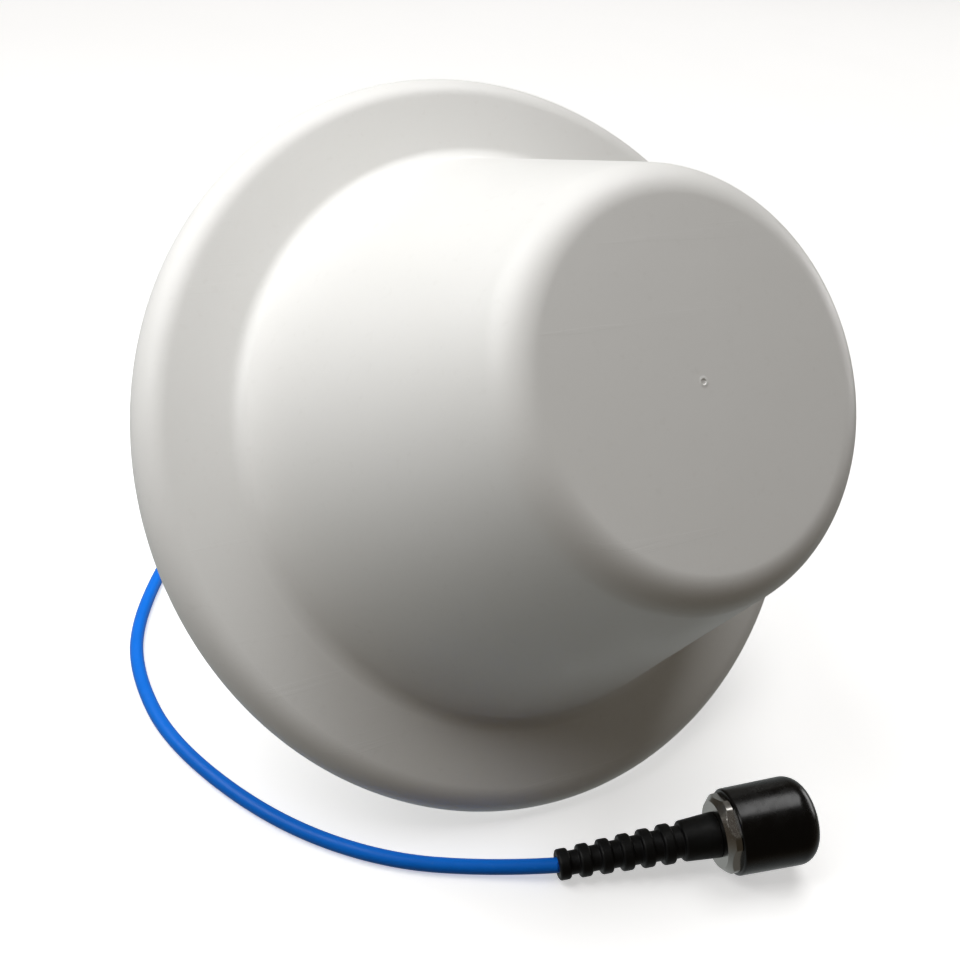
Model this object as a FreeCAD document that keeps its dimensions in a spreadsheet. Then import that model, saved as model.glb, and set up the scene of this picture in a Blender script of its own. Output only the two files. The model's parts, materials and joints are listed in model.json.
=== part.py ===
"""Indoor ceiling dome antenna with a coaxial pigtail, as a parametric assembly.

The antenna is drawn upright about its own axis: its level 0 is the plane of the rim that meets the
ceiling, its levels rise towards the closed end of the radome, and the mounting stud points down. It is
then leaned back to the attitude in which it rests on its rim and its pigtail, on a table at z = 0.
The pigtail's connector is drawn upright about its own axis too, from the small end of its boot.
"""
import FreeCAD
import Part
import math
import os
import re
import Sketcher

# Lengths in millimetres and angles in degrees. Every one is a cell of the document's spreadsheet.
DIMENSIONS = {
    # attitude on the table
    "axis_elevation": 38.3,
    "stand_back": 17.9,
    "connector_heading": -16.9,
    "connector_rise": 8.4,
    "connector_roll": -4.5,
    # radome, one moulding
    "rim_radius": 110,
    "rim_roll": 7.6,
    "band_level": 8.6,
    "wall": 2.6,
    "cup_foot_radius": 83.5,
    "cup_end_radius": 51.4,
    "cup_slant_wall": 2.8,
    "radome_height": 94,
    "foot_fillet": 5,
    "end_fillet": 10.7,
    "boss_circle": 75,
    "boss_radius": 4,
    "pilot_radius": 1.45,
    "pilot_depth": 12,
    # ground plane
    "plane_radius": 101.5,
    "plane_thickness": 2,
    "clearance_hole": 1.7,
    # self-tapping screws that close the radome
    "tapping_length": 12,
    "tapping_head_radius": 2.8,
    "tapping_head_height": 1.7,
    "tapping_count": 6,
    # mounting stud, its screws and nuts
    "stud_radius": 12.5,
    "stud_bore": 7.5,
    "stud_length": 44,
    "stud_tip_chamfer": 1.2,
    "flange_radius": 23,
    "flange_thickness": 2.5,
    "flange_circle": 18.5,
    "flange_screw_count": 4,
    "screw_radius": 1.5,
    "sunk_head_radius": 3,
    "sunk_head_depth": 1.6,
    "flange_screw_length": 8,
    "small_nut_flats": 5.5,
    "small_nut_height": 2.4,
    # washer and nut that clamp the ceiling
    "washer_bore": 12.9,
    "washer_radius": 27,
    "washer_thickness": 2,
    "nut_flats": 36,
    "nut_height": 9,
    "nut_bore": 12.56,
    "nut_collar_radius": 20,
    # grommet in the stud's tip
    "grommet_flange_radius": 9.5,
    "grommet_flange_height": 2,
    "grommet_depth": 8,
    # coaxial cable
    "jacket_radius": 2.1,
    "braid_radius": 1.8,
    "dielectric_radius": 1.475,
    "conductor_radius": 0.46,
    # feed of the radiator
    "ferrule_radius": 3,
    "ferrule_flange": 8,
    "ferrule_flange_height": 1.2,
    "ferrule_tail": 6,
    "feed_gap": 3,
    "feed_collar_radius": 6,
    # radiator: cone, disc, posts
    "cone_tip_radius": 3.2,
    "cone_boss_height": 3,
    "cone_top_radius": 41,
    "cone_top_level": 74,
    "sheet": 1,
    "disc_radius": 49,
    "post_circle": 44.5,
    "post_radius": 2.75,
    "post_count": 3,
    "post_screw_length": 8,
    "pan_head_radius": 2.75,
    "pan_head_height": 1.8,
    "rivet_radius": 1.2,
    "rivet_head_radius": 2.2,
    "rivet_head_height": 0.8,
    # bend relief boot
    "boot_length": 46.5,
    "ring_count": 6,
    "ring_pitch": 6,
    "ring_width": 3.35,
    "first_ring_radius": 4.22,
    "ring_growth": 0.265,
    "first_core_radius": 3.24,
    "core_growth": 0.24,
    "sleeve_radius": 5.58,
    "sleeve_end_radius": 6.33,
    "boot_socket_depth": 14,
    # crimp ferrule and cable end inside the boot
    "crimp_radius": 3.3,
    "crimp_bore": 2.9,
    "crimp_length": 12,
    "spigot_radius": 2.6,
    "spigot_length": 10,
    # jack
    "hex_flats": 20.6,
    "hex_height": 3.8,
    "hex_turned_radius": 11.1,
    "hex_edge": 1.8,
    "jack_radius": 7.94,
    "jack_length": 16,
    "jack_neck_radius": 6.9,
    "jack_neck_height": 2,
    "jack_bore": 4.05,
    "jack_bore_depth": 9,
    "jack_seat": 3.5,
    "contact_radius": 1.52,
    "contact_bore": 0.83,
    "contact_bore_depth": 6,
    "contact_recess": 4,
    "conductor_reach": 6,
    "bead_length": 5,
    # dust cap
    "cap_mouth_radius": 12.05,
    "cap_radius": 12.5,
    "cap_length": 24.3,
    "cap_bore": 8,
    "cap_bore_depth": 17,
    "cap_end_fillet": 5.75,
    "cap_mouth_fillet": 0.8,
}

# Where the free pigtail runs, from the grommet in the stud to the boot, on the table at z = 0.
PIGTAIL_ROUTE = [
    (0, 54.0, 57.8),
    (0, 69.7, 45.4),
    (8, 95, 29),
    (16, 119, 12),
    (8, 139, 2.1),
    (-16, 149.5, 2.1),
    (-46, 138, 2.1),
    (-78.5, 100, 2.1),
    (-99.5, 66, 2.1),
    (-105.5, 41.5, 2.1),
    (-104, 11.5, 2.1),
    (-88, -25, 2.1),
    (-65, -50.5, 2.1),
    (-37, -65.5, 2.1),
    (-21.7, -72.9, 4.7),
]
ARC_SHARE = 0.45

doc = FreeCAD.newDocument("ceiling_antenna")
sheet = doc.addObject("Spreadsheet::Sheet", "dims")
for row, (alias, length) in enumerate(DIMENSIONS.items(), 1):
    sheet.set(f"B{row}", str(length))
    sheet.setAlias(f"B{row}", alias)
doc.recompute()
nodes = []


# ---------------------------------------------------------------- formulas and sketches


def number(text):
    """The value of a formula such as "rim_radius - 2 * wall", from the spreadsheet."""
    total = 0.0
    for term in text.replace("- ", "+ -1 * ").split("+"):
        if not term.strip():
            continue
        product = 1.0
        for factor in term.split("*"):
            word = factor.strip()
            product *= sheet.get(word) if word in DIMENSIONS else float(word)
        total += product
    return total


def formula(text):
    """The same formula as the document's expressions write it."""
    return re.sub(r"[a-z_]+", lambda word: "dims." + word.group(), text)


def origin_plane(body, role):
    return next(plane for plane in body.Origin.OriginFeatures if plane.Role == role)


def new_body(label):
    body = doc.addObject("PartDesign::Body", label)
    body.Label = label
    return body


def new_sketch(body, name, role, level="0"):
    sketch = body.newObject("Sketcher::SketchObject", name)
    sketch.AttachmentSupport = [(origin_plane(body, role), "")]
    sketch.MapMode = "FlatFace"
    if level != "0":
        sketch.AttachmentOffset = FreeCAD.Placement(FreeCAD.Vector(0, 0, number(level)), FreeCAD.Rotation())
        sketch.setExpression("AttachmentOffset.Base.z", formula(level))
    return sketch


def pin_coordinate(sketch, edge, axis, text):
    """Holds the start of an edge at a distance along one axis of the sketch."""
    if text == "0":
        line = -2 if axis == "X" else -1
        sketch.addConstraint(Sketcher.Constraint("PointOnObject", edge, 1, line))
        return
    kind = f"Distance{axis}"
    place = sketch.addConstraint(Sketcher.Constraint(kind, -1, 1, edge, 1, number(text)))
    name = f"{axis.lower()}_{edge}"
    sketch.renameConstraint(place, name)
    sketch.setExpression(f"Constraints.{name}", formula(text))


def outline(body, name, corners):
    """A closed outline in the plane of radius and level, with a formula for each coordinate."""
    sketch = new_sketch(body, name, "XZ_Plane")
    places = [FreeCAD.Vector(number(radius), number(level), 0) for radius, level in corners]
    for index, place in enumerate(places):
        sketch.addGeometry(Part.LineSegment(place, places[(index + 1) % len(places)]), False)
    for index in range(len(places)):
        sketch.addConstraint(Sketcher.Constraint("Coincident", index, 2, (index + 1) % len(places), 1))
    for index, (radius, level) in enumerate(corners):
        pin_coordinate(sketch, index, "X", radius)
        pin_coordinate(sketch, index, "Y", level)
    return sketch


def turn(body, name, corners, cut=False, about=None):
    """A turned feature. It turns about the body's axis, or about the outline's edge number about."""
    sketch = outline(body, name + "_outline", corners)
    kind = "PartDesign::Groove" if cut else "PartDesign::Revolution"
    feature = body.newObject(kind, name)
    feature.Profile = sketch
    feature.ReferenceAxis = (sketch, ["V_Axis"] if about is None else [f"Edge{about}"])
    feature.Angle = 360
    doc.recompute()
    return feature


def round_off(body, name, base, radius, rings):
    """Rounds the circular edges of base that lie at the given radii and levels."""
    wanted = [(number(ring), number(level)) for ring, level in rings]
    edges = []
    for index, edge in enumerate(base.Shape.Edges, 1):
        if not isinstance(edge.Curve, Part.Circle):
            continue
        found = (edge.Curve.Radius, edge.Curve.Center.z)
        if any(math.dist(found, ring) < 0.02 for ring in wanted):
            edges.append(f"Edge{index}")
    if len(edges) != len(rings):
        raise RuntimeError(f"{name} found {len(edges)} edges for {len(rings)} rings")
    fillet = body.newObject("PartDesign::Fillet", name)
    fillet.Base = (base, edges)
    fillet.Radius = number(radius)
    fillet.setExpression("Radius", formula(radius))
    doc.recompute()
    return fillet


def ring_pattern(body, name, features, count):
    """Repeats features round the body's axis."""
    pattern = body.newObject("PartDesign::PolarPattern", name)
    pattern.Originals = features
    pattern.Axis = (origin_axis(body), [""])
    pattern.Angle = 360
    pattern.Occurrences = int(number(count))
    pattern.setExpression("Occurrences", formula(count))
    body.Tip = pattern
    doc.recompute()
    return pattern


def origin_axis(body):
    return next(axis for axis in body.Origin.OriginFeatures if axis.Role == "Z_Axis")


def circle(sketch, radius, away="0"):
    """A circle in a sketch, on the X axis at a distance from the centre."""
    spot = FreeCAD.Vector(number(away), 0, 0)
    index = sketch.addGeometry(Part.Circle(spot, FreeCAD.Vector(0, 0, 1), number(radius)), False)
    if away == "0":
        sketch.addConstraint(Sketcher.Constraint("Coincident", index, 3, -1, 1))
    else:
        sketch.addConstraint(Sketcher.Constraint("PointOnObject", index, 3, -1))
        place = sketch.addConstraint(Sketcher.Constraint("DistanceX", -1, 1, index, 3, number(away)))
        sketch.renameConstraint(place, f"away_{index}")
        sketch.setExpression(f"Constraints.away_{index}", formula(away))
    size = sketch.addConstraint(Sketcher.Constraint("Radius", index, number(radius)))
    sketch.renameConstraint(size, f"radius_{index}")
    sketch.setExpression(f"Constraints.radius_{index}", formula(radius))


def drill(body, name, radius, away, start, depth, upward=True):
    """A round hole parallel to the axis, from one level, upward or downward by a depth."""
    sketch = new_sketch(body, name + "_circle", "XY_Plane", start)
    circle(sketch, radius, away)
    before = body.Tip.Shape.Volume
    pocket = body.newObject("PartDesign::Pocket", name)
    pocket.Profile = sketch
    pocket.Reversed = upward
    pocket.Length = number(depth)
    pocket.setExpression("Length", formula(depth))
    doc.recompute()
    if not pocket.Shape.Volume < before - 0.1:
        raise RuntimeError(f"{name} cuts nothing")
    return pocket


def hexagon(body, name, flats, level, height, away="0"):
    """A hexagonal prism across the given flats, standing on one level."""
    sketch = new_sketch(body, name + "_hexagon", "XY_Plane", level)
    reach = number(flats) / math.sqrt(3)
    centre = FreeCAD.Vector(number(away), 0, 0)
    corners = []
    for index in range(6):
        angle = math.radians(60 * index)
        corners.append(centre + FreeCAD.Vector(reach * math.cos(angle), reach * math.sin(angle), 0))
    for index in range(6):
        sketch.addGeometry(Part.LineSegment(corners[index], corners[(index + 1) % 6]), False)
    rim = sketch.addGeometry(Part.Circle(centre, FreeCAD.Vector(0, 0, 1), reach), True)
    for index in range(6):
        sketch.addConstraint(Sketcher.Constraint("Coincident", index, 2, (index + 1) % 6, 1))
        sketch.addConstraint(Sketcher.Constraint("PointOnObject", index, 1, rim))
    for index in range(1, 6):
        sketch.addConstraint(Sketcher.Constraint("Equal", 0, index))
    sketch.addConstraint(Sketcher.Constraint("PointOnObject", 0, 1, -1))
    if away == "0":
        sketch.addConstraint(Sketcher.Constraint("Coincident", rim, 3, -1, 1))
    else:
        sketch.addConstraint(Sketcher.Constraint("PointOnObject", rim, 3, -1))
        place = sketch.addConstraint(Sketcher.Constraint("DistanceX", -1, 1, rim, 3, number(away)))
        sketch.renameConstraint(place, "away")
        sketch.setExpression("Constraints.away", formula(away))
    size = sketch.addConstraint(Sketcher.Constraint("Radius", rim, reach))
    sketch.renameConstraint(size, "reach")
    sketch.setExpression("Constraints.reach", formula(flats) + " / sqrt(3)")
    pad = body.newObject("PartDesign::Pad", name)
    pad.Profile = sketch
    pad.Length = number(height)
    pad.setExpression("Length", formula(height))
    doc.recompute()
    return pad


def keep(piece, placement):
    """Adds a finished piece to the assembly, in the place of its group."""
    piece.Placement = placement
    nodes.append(piece)
    return piece


def turned(label, corners, placement):
    """A piece that is one turned solid."""
    body = new_body(label)
    turn(body, label + "_solid", corners)
    return keep(body, placement)


def ring_of(label, corners, count, placement):
    """Equal turned pieces round the axis. Their outline's last edge is their own axis."""
    body = new_body(label)
    body.AllowCompound = True
    solid = turn(body, label + "_solid", corners, about=len(corners))
    ring_pattern(body, label + "_ring", [solid], count)
    return keep(body, placement)


# ---------------------------------------------------------------- where each group stands

lean = 90 - number("axis_elevation")
centre_height = number("rim_radius") * math.cos(math.radians(number("axis_elevation")))
antenna_place = FreeCAD.Placement(
    FreeCAD.Vector(0, number("stand_back"), centre_height),
    FreeCAD.Rotation(FreeCAD.Vector(1, 0, 0), lean),
)
heading = FreeCAD.Rotation(FreeCAD.Vector(0, 0, 1), number("connector_heading"))
pitch = FreeCAD.Rotation(FreeCAD.Vector(0, 1, 0), 90 - number("connector_rise"))
roll = FreeCAD.Rotation(FreeCAD.Vector(0, 0, 1), number("connector_roll"))
connector_turn = heading.multiply(pitch).multiply(roll)
connector_place = FreeCAD.Placement(FreeCAD.Vector(*PIGTAIL_ROUTE[-1]), connector_turn)

# Levels on the antenna's axis.
PLANE_BACK = "band_level - wall - plane_thickness"
PLANE_FRONT = "band_level - wall"
FLANGE_BACK = PLANE_BACK + " - flange_thickness"
WASHER_BACK = FLANGE_BACK + " - washer_thickness"
NUT_BACK = WASHER_BACK + " - nut_height"
STUD_TIP = "-1 * stud_length"
FERRULE_TOP = PLANE_FRONT + " + ferrule_flange_height"
CONE_FOOT = FERRULE_TOP + " + feed_gap"
DISC_TOP = "cone_top_level + sheet"

# Levels on the connector's axis.
BOOT_END = "boot_length"
HEX_END = "boot_length + hex_height"
JACK_END = HEX_END + " + jack_length"
SOCKET_FLOOR = JACK_END + " - jack_bore_depth"


# ---------------------------------------------------------------- antenna


def make_radome():
    body = new_body("radome")
    corners = [
        ("0", "radome_height"),
        ("cup_end_radius", "radome_height"),
        ("cup_foot_radius", "band_level"),
        ("rim_radius", "band_level"),
        ("rim_radius", "0"),
        ("rim_radius - wall", "0"),
        ("rim_radius - wall", "band_level - wall"),
        ("cup_foot_radius - cup_slant_wall + 1", "band_level - wall"),
        ("cup_end_radius - cup_slant_wall + 1", "radome_height - wall"),
        ("0", "radome_height - wall"),
    ]
    shell = turn(body, "shell", corners)
    rounded = round_off(body, "end_round", shell, "end_fillet", [corners[1]])
    rounded = round_off(body, "foot_round", rounded, "foot_fillet", [corners[2]])
    rounded = round_off(body, "rim_round", rounded, "rim_roll", [corners[3]])
    rounded = round_off(body, "rim_inner_round", rounded, "rim_roll - wall", [corners[6]])
    rounded = round_off(body, "foot_inner_round", rounded, "foot_fillet - wall", [corners[7]])
    round_off(body, "end_inner_round", rounded, "end_fillet - wall", [corners[8]])
    sketch = new_sketch(body, "boss_circle_sketch", "XY_Plane", PLANE_FRONT)
    circle(sketch, "boss_radius", "boss_circle")
    boss = body.newObject("PartDesign::Pad", "boss")
    boss.Profile = sketch
    boss.Type = "UpToFirst"
    doc.recompute()
    pilot = drill(body, "pilot", "pilot_radius", "boss_circle", PLANE_FRONT, "pilot_depth")
    ring_pattern(body, "bosses", [boss, pilot], "tapping_count")
    return keep(body, antenna_place)


def make_ground_plane():
    body = new_body("ground_plane")
    corners = [
        ("ferrule_radius", PLANE_BACK),
        ("plane_radius", PLANE_BACK),
        ("plane_radius", PLANE_FRONT),
        ("ferrule_radius", PLANE_FRONT),
    ]
    turn(body, "plate", corners)
    circles = {
        "radome_hole": ("boss_circle", "tapping_count"),
        "flange_hole": ("flange_circle", "flange_screw_count"),
        "post_hole": ("post_circle", "post_count"),
    }
    for name, (away, count) in circles.items():
        hole = drill(body, name, "clearance_hole", away, PLANE_BACK, "plane_thickness")
        ring_pattern(body, name + "s", [hole], count)
    return keep(body, antenna_place)


def make_radome_screws():
    corners = [
        ("boss_circle", PLANE_BACK + " - tapping_head_height"),
        ("boss_circle + tapping_head_radius - 0.6", PLANE_BACK + " - tapping_head_height"),
        ("boss_circle + tapping_head_radius", PLANE_BACK + " - 0.5 * tapping_head_height"),
        ("boss_circle + tapping_head_radius", PLANE_BACK),
        ("boss_circle + pilot_radius", PLANE_BACK),
        ("boss_circle + pilot_radius", PLANE_BACK + " + tapping_length - 1.5"),
        ("boss_circle", PLANE_BACK + " + tapping_length"),
    ]
    return ring_of("radome_screws", corners, "tapping_count", antenna_place)


def make_mounting_stud():
    body = new_body("mounting_stud")
    corners = [
        ("stud_bore", STUD_TIP),
        ("stud_radius - stud_tip_chamfer", STUD_TIP),
        ("stud_radius", STUD_TIP + " + stud_tip_chamfer"),
        ("stud_radius", FLANGE_BACK),
        ("flange_radius", FLANGE_BACK),
        ("flange_radius", PLANE_BACK),
        ("stud_bore", PLANE_BACK),
    ]
    turn(body, "stud_solid", corners)
    sunk = [
        ("flange_circle", FLANGE_BACK),
        ("flange_circle + sunk_head_radius", FLANGE_BACK),
        ("flange_circle + screw_radius", FLANGE_BACK + " + sunk_head_depth"),
        ("flange_circle + screw_radius", PLANE_BACK),
        ("flange_circle", PLANE_BACK),
    ]
    hole = turn(body, "sunk_hole", sunk, cut=True, about=len(sunk))
    ring_pattern(body, "sunk_holes", [hole], "flange_screw_count")
    return keep(body, antenna_place)


def make_stud_screws():
    corners = [
        ("flange_circle", FLANGE_BACK),
        ("flange_circle + sunk_head_radius", FLANGE_BACK),
        ("flange_circle + screw_radius", FLANGE_BACK + " + sunk_head_depth"),
        ("flange_circle + screw_radius", FLANGE_BACK + " + flange_screw_length"),
        ("flange_circle", FLANGE_BACK + " + flange_screw_length"),
    ]
    return ring_of("stud_screws", corners, "flange_screw_count", antenna_place)


def make_stud_nuts():
    body = new_body("stud_nuts")
    body.AllowCompound = True
    nut = hexagon(body, "small_nut", "small_nut_flats", PLANE_FRONT, "small_nut_height", "flange_circle")
    hole = drill(body, "small_nut_hole", "screw_radius", "flange_circle", PLANE_FRONT, "small_nut_height")
    ring_pattern(body, "small_nuts", [nut, hole], "flange_screw_count")
    return keep(body, antenna_place)


def make_washer():
    corners = [
        ("washer_bore", WASHER_BACK),
        ("washer_radius", WASHER_BACK),
        ("washer_radius", FLANGE_BACK),
        ("washer_bore", FLANGE_BACK),
    ]
    return turned("mounting_washer", corners, antenna_place)


def make_mounting_nut():
    body = new_body("mounting_nut")
    hexagon(body, "nut_hexagon", "nut_flats", NUT_BACK, "nut_height")
    chamfer = [
        ("0.5 * nut_flats - 0.4", NUT_BACK),
        ("0.5 * nut_flats + 6", NUT_BACK),
        ("0.5 * nut_flats + 6", NUT_BACK + " + 3.4"),
    ]
    turn(body, "nut_chamfer", chamfer, cut=True)
    step = [
        ("nut_collar_radius", WASHER_BACK + " - 1"),
        ("0.5 * nut_flats + 6", WASHER_BACK + " - 1"),
        ("0.5 * nut_flats + 6", WASHER_BACK),
        ("nut_collar_radius - 0.6", WASHER_BACK),
    ]
    turn(body, "nut_face", step, cut=True)
    bore = [
        ("0", NUT_BACK),
        ("nut_bore + 0.8", NUT_BACK),
        ("nut_bore", NUT_BACK + " + 0.8"),
        ("nut_bore", WASHER_BACK + " - 0.8"),
        ("nut_bore + 0.8", WASHER_BACK),
        ("0", WASHER_BACK),
    ]
    turn(body, "nut_bore_cut", bore, cut=True)
    return keep(body, antenna_place)


def make_grommet():
    corners = [
        ("jacket_radius", STUD_TIP + " - grommet_flange_height"),
        ("0.5 * grommet_flange_radius", STUD_TIP + " - grommet_flange_height"),
        ("grommet_flange_radius", STUD_TIP + " - 0.4 * grommet_flange_height"),
        ("grommet_flange_radius", STUD_TIP),
        ("stud_bore", STUD_TIP),
        ("stud_bore", STUD_TIP + " + grommet_depth"),
        ("jacket_radius", STUD_TIP + " + grommet_depth"),
    ]
    return turned("stud_grommet", corners, antenna_place)


def tube(label, inner, outer, low, high, placement):
    corners = [(inner, low), (outer, low), (outer, high), (inner, high)]
    return turned(label, corners, placement)


def make_feed_cable():
    low = STUD_TIP + " - grommet_flange_height"
    jacket_end = PLANE_BACK + " - ferrule_tail"
    tube("feed_cable_jacket", "braid_radius", "jacket_radius", low, jacket_end, antenna_place)
    tube("feed_cable_braid", "dielectric_radius", "braid_radius", low, FERRULE_TOP, antenna_place)
    tube("feed_cable_dielectric", "conductor_radius", "dielectric_radius", low, FERRULE_TOP, antenna_place)
    tube("feed_conductor", "0", "conductor_radius", low, CONE_FOOT + " + cone_boss_height", antenna_place)


def make_feed():
    ferrule = [
        ("braid_radius", PLANE_BACK + " - ferrule_tail"),
        ("ferrule_radius", PLANE_BACK + " - ferrule_tail"),
        ("ferrule_radius", PLANE_FRONT),
        ("ferrule_flange", PLANE_FRONT),
        ("ferrule_flange", FERRULE_TOP),
        ("braid_radius", FERRULE_TOP),
    ]
    turned("feed_ferrule", ferrule, antenna_place)
    tube("feed_insulator", "conductor_radius", "feed_collar_radius", FERRULE_TOP, CONE_FOOT, antenna_place)


def make_radiator():
    cone = [
        ("conductor_radius", CONE_FOOT),
        ("cone_tip_radius", CONE_FOOT),
        ("cone_top_radius", "cone_top_level - sheet"),
        ("disc_radius", "cone_top_level - sheet"),
        ("disc_radius", "cone_top_level"),
        ("cone_top_radius - sheet", "cone_top_level"),
        ("cone_tip_radius - 0.5 * sheet", CONE_FOOT + " + cone_boss_height"),
        ("conductor_radius", CONE_FOOT + " + cone_boss_height"),
    ]
    body = new_body("radiator_cone")
    turn(body, "cone_shell", cone)
    hole = drill(body, "cone_hole", "screw_radius", "post_circle", "cone_top_level - sheet", "sheet")
    ring_pattern(body, "cone_holes", [hole], "2 * post_count")
    keep(body, antenna_place)
    body = new_body("radiator_disc")
    disc = [
        ("0", "cone_top_level"),
        ("disc_radius", "cone_top_level"),
        ("disc_radius", DISC_TOP),
        ("0", DISC_TOP),
    ]
    turn(body, "disc_solid", disc)
    hole = drill(body, "disc_hole", "screw_radius", "post_circle", "cone_top_level", "sheet")
    ring_pattern(body, "disc_holes", [hole], "2 * post_count")
    keep(body, antenna_place)


def make_posts():
    body = new_body("shorting_posts")
    body.AllowCompound = True
    post = [
        ("post_circle + screw_radius", PLANE_FRONT),
        ("post_circle + post_radius", PLANE_FRONT),
        ("post_circle + post_radius", "cone_top_level - sheet"),
        ("post_circle + screw_radius", "cone_top_level - sheet"),
    ]
    sketch = outline(body, "post_outline", post)
    axis = new_sketch(body, "post_axis", "XZ_Plane")
    ends = [FreeCAD.Vector(number("post_circle"), 0, 0), FreeCAD.Vector(number("post_circle"), 10, 0)]
    axis.addGeometry(Part.LineSegment(*ends), False)
    pin_coordinate(axis, 0, "X", "post_circle")
    pin_coordinate(axis, 0, "Y", "0")
    axis.addConstraint(Sketcher.Constraint("Vertical", 0))
    solid = body.newObject("PartDesign::Revolution", "post")
    solid.Profile = sketch
    solid.ReferenceAxis = (axis, ["Edge1"])
    solid.Angle = 360
    doc.recompute()
    ring_pattern(body, "posts", [solid], "post_count")
    keep(body, antenna_place)
    lower = [
        ("post_circle", PLANE_BACK + " - pan_head_height"),
        ("post_circle + pan_head_radius - 0.5", PLANE_BACK + " - pan_head_height"),
        ("post_circle + pan_head_radius", PLANE_BACK + " - 0.5 * pan_head_height"),
        ("post_circle + pan_head_radius", PLANE_BACK),
        ("post_circle + screw_radius", PLANE_BACK),
        ("post_circle + screw_radius", PLANE_FRONT + " + post_screw_length"),
        ("post_circle", PLANE_FRONT + " + post_screw_length"),
    ]
    ring_of("post_screws", lower, "post_count", antenna_place)
    upper = [
        ("post_circle", "cone_top_level - post_screw_length"),
        ("post_circle + screw_radius", "cone_top_level - post_screw_length"),
        ("post_circle + screw_radius", DISC_TOP),
        ("post_circle + pan_head_radius", DISC_TOP),
        ("post_circle + pan_head_radius", DISC_TOP + " + 0.5 * pan_head_height"),
        ("post_circle + pan_head_radius - 0.5", DISC_TOP + " + pan_head_height"),
        ("post_circle", DISC_TOP + " + pan_head_height"),
    ]
    ring_of("disc_screws", upper, "post_count", antenna_place)


def make_rivets():
    """Blind rivets between the disc screws, drawn across the axis from them."""
    body = new_body("disc_rivets")
    body.AllowCompound = True
    below = "cone_top_level - sheet - rivet_head_height"
    rivet = [
        ("-1 * post_circle", below),
        ("-1 * post_circle - rivet_head_radius", below),
        ("-1 * post_circle - rivet_head_radius", "cone_top_level - sheet"),
        ("-1 * post_circle - rivet_radius", "cone_top_level - sheet"),
        ("-1 * post_circle - rivet_radius", DISC_TOP),
        ("-1 * post_circle - rivet_head_radius", DISC_TOP),
        ("-1 * post_circle - rivet_head_radius", DISC_TOP + " + rivet_head_height"),
        ("-1 * post_circle", DISC_TOP + " + rivet_head_height"),
    ]
    solid = turn(body, "rivet", rivet, about=len(rivet))
    ring_pattern(body, "rivets", [solid], "post_count")
    keep(body, antenna_place)


# ---------------------------------------------------------------- pigtail


def make_pigtail():
    """The free cable: straight runs joined by tangent arcs, as large as the runs allow."""
    points = [FreeCAD.Vector(*point) for point in PIGTAIL_ROUTE]
    edges = []
    last = points[0]
    for before, corner, after in zip(points, points[1:], points[2:]):
        inward = (corner - before).normalize()
        outward = (after - corner).normalize()
        turn_angle = inward.getAngle(outward)
        reach = ARC_SHARE * min((corner - before).Length, (after - corner).Length)
        radius = reach / math.tan(turn_angle / 2)
        start = corner - inward * reach
        end = corner + outward * reach
        towards = (outward - inward).normalize()
        middle = corner + towards * (math.hypot(radius, reach) - radius)
        edges.append(Part.LineSegment(last, start).toShape())
        edges.append(Part.Arc(start, middle, end).toShape())
        print(f"pigtail turns {math.degrees(turn_angle):.1f} degrees with radius {radius:.1f}")
        last = end
    edges.append(Part.LineSegment(last, points[-1]).toShape())
    path = Part.Wire(edges)
    radius = number("jacket_radius")
    ring = Part.makeCircle(radius, points[0], (points[1] - points[0]).normalize())
    solid = path.makePipeShell([Part.Wire(ring)], True, False)
    expected = math.pi * radius**2 * path.Length
    print(f"pigtail is {path.Length:.1f} long, volume {solid.Volume:.0f} for {expected:.0f}")
    if abs(solid.Volume / expected - 1) > 0.01:
        raise RuntimeError("the pigtail's volume is wrong")
    piece = doc.addObject("Part::Feature", "pigtail_cable")
    piece.Label = "pigtail_cable"
    piece.Shape = solid
    return keep(piece, FreeCAD.Placement())


def make_boot():
    """The bend relief: ribs that grow towards a tapered sleeve, with a socket for the crimp."""
    corners = [("jacket_radius", "0")]
    for ring in range(int(number("ring_count"))):
        start = f"{ring} * ring_pitch"
        rib = f"first_ring_radius + {ring} * ring_growth"
        core = f"first_core_radius + {ring} * core_growth"
        corners += [(rib, start), (rib, start + " + ring_width")]
        corners += [(core, start + " + ring_width"), (core, start + " + ring_pitch")]
    corners += [
        ("sleeve_radius", "ring_count * ring_pitch"),
        ("sleeve_end_radius", BOOT_END),
        ("crimp_radius", BOOT_END),
        ("crimp_radius", "boot_length - boot_socket_depth"),
        ("jacket_radius", "boot_length - boot_socket_depth"),
    ]
    return turned("bend_relief_boot", corners, connector_place)


def make_cable_end():
    """The pigtail's end inside the boot, stripped for the crimp."""
    stripped = "boot_length - crimp_length"
    rear = "boot_length - spigot_length"
    tube("cable_end_jacket", "dielectric_radius", "jacket_radius", "0", stripped, connector_place)
    bead = BOOT_END + " + 3"
    tube("cable_end_dielectric", "conductor_radius", "dielectric_radius", "0", bead, connector_place)
    tube("crimp_ferrule", "crimp_bore", "crimp_radius", stripped, BOOT_END, connector_place)
    tube("crimped_braid", "spigot_radius", "crimp_bore", rear, BOOT_END, connector_place)


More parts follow.
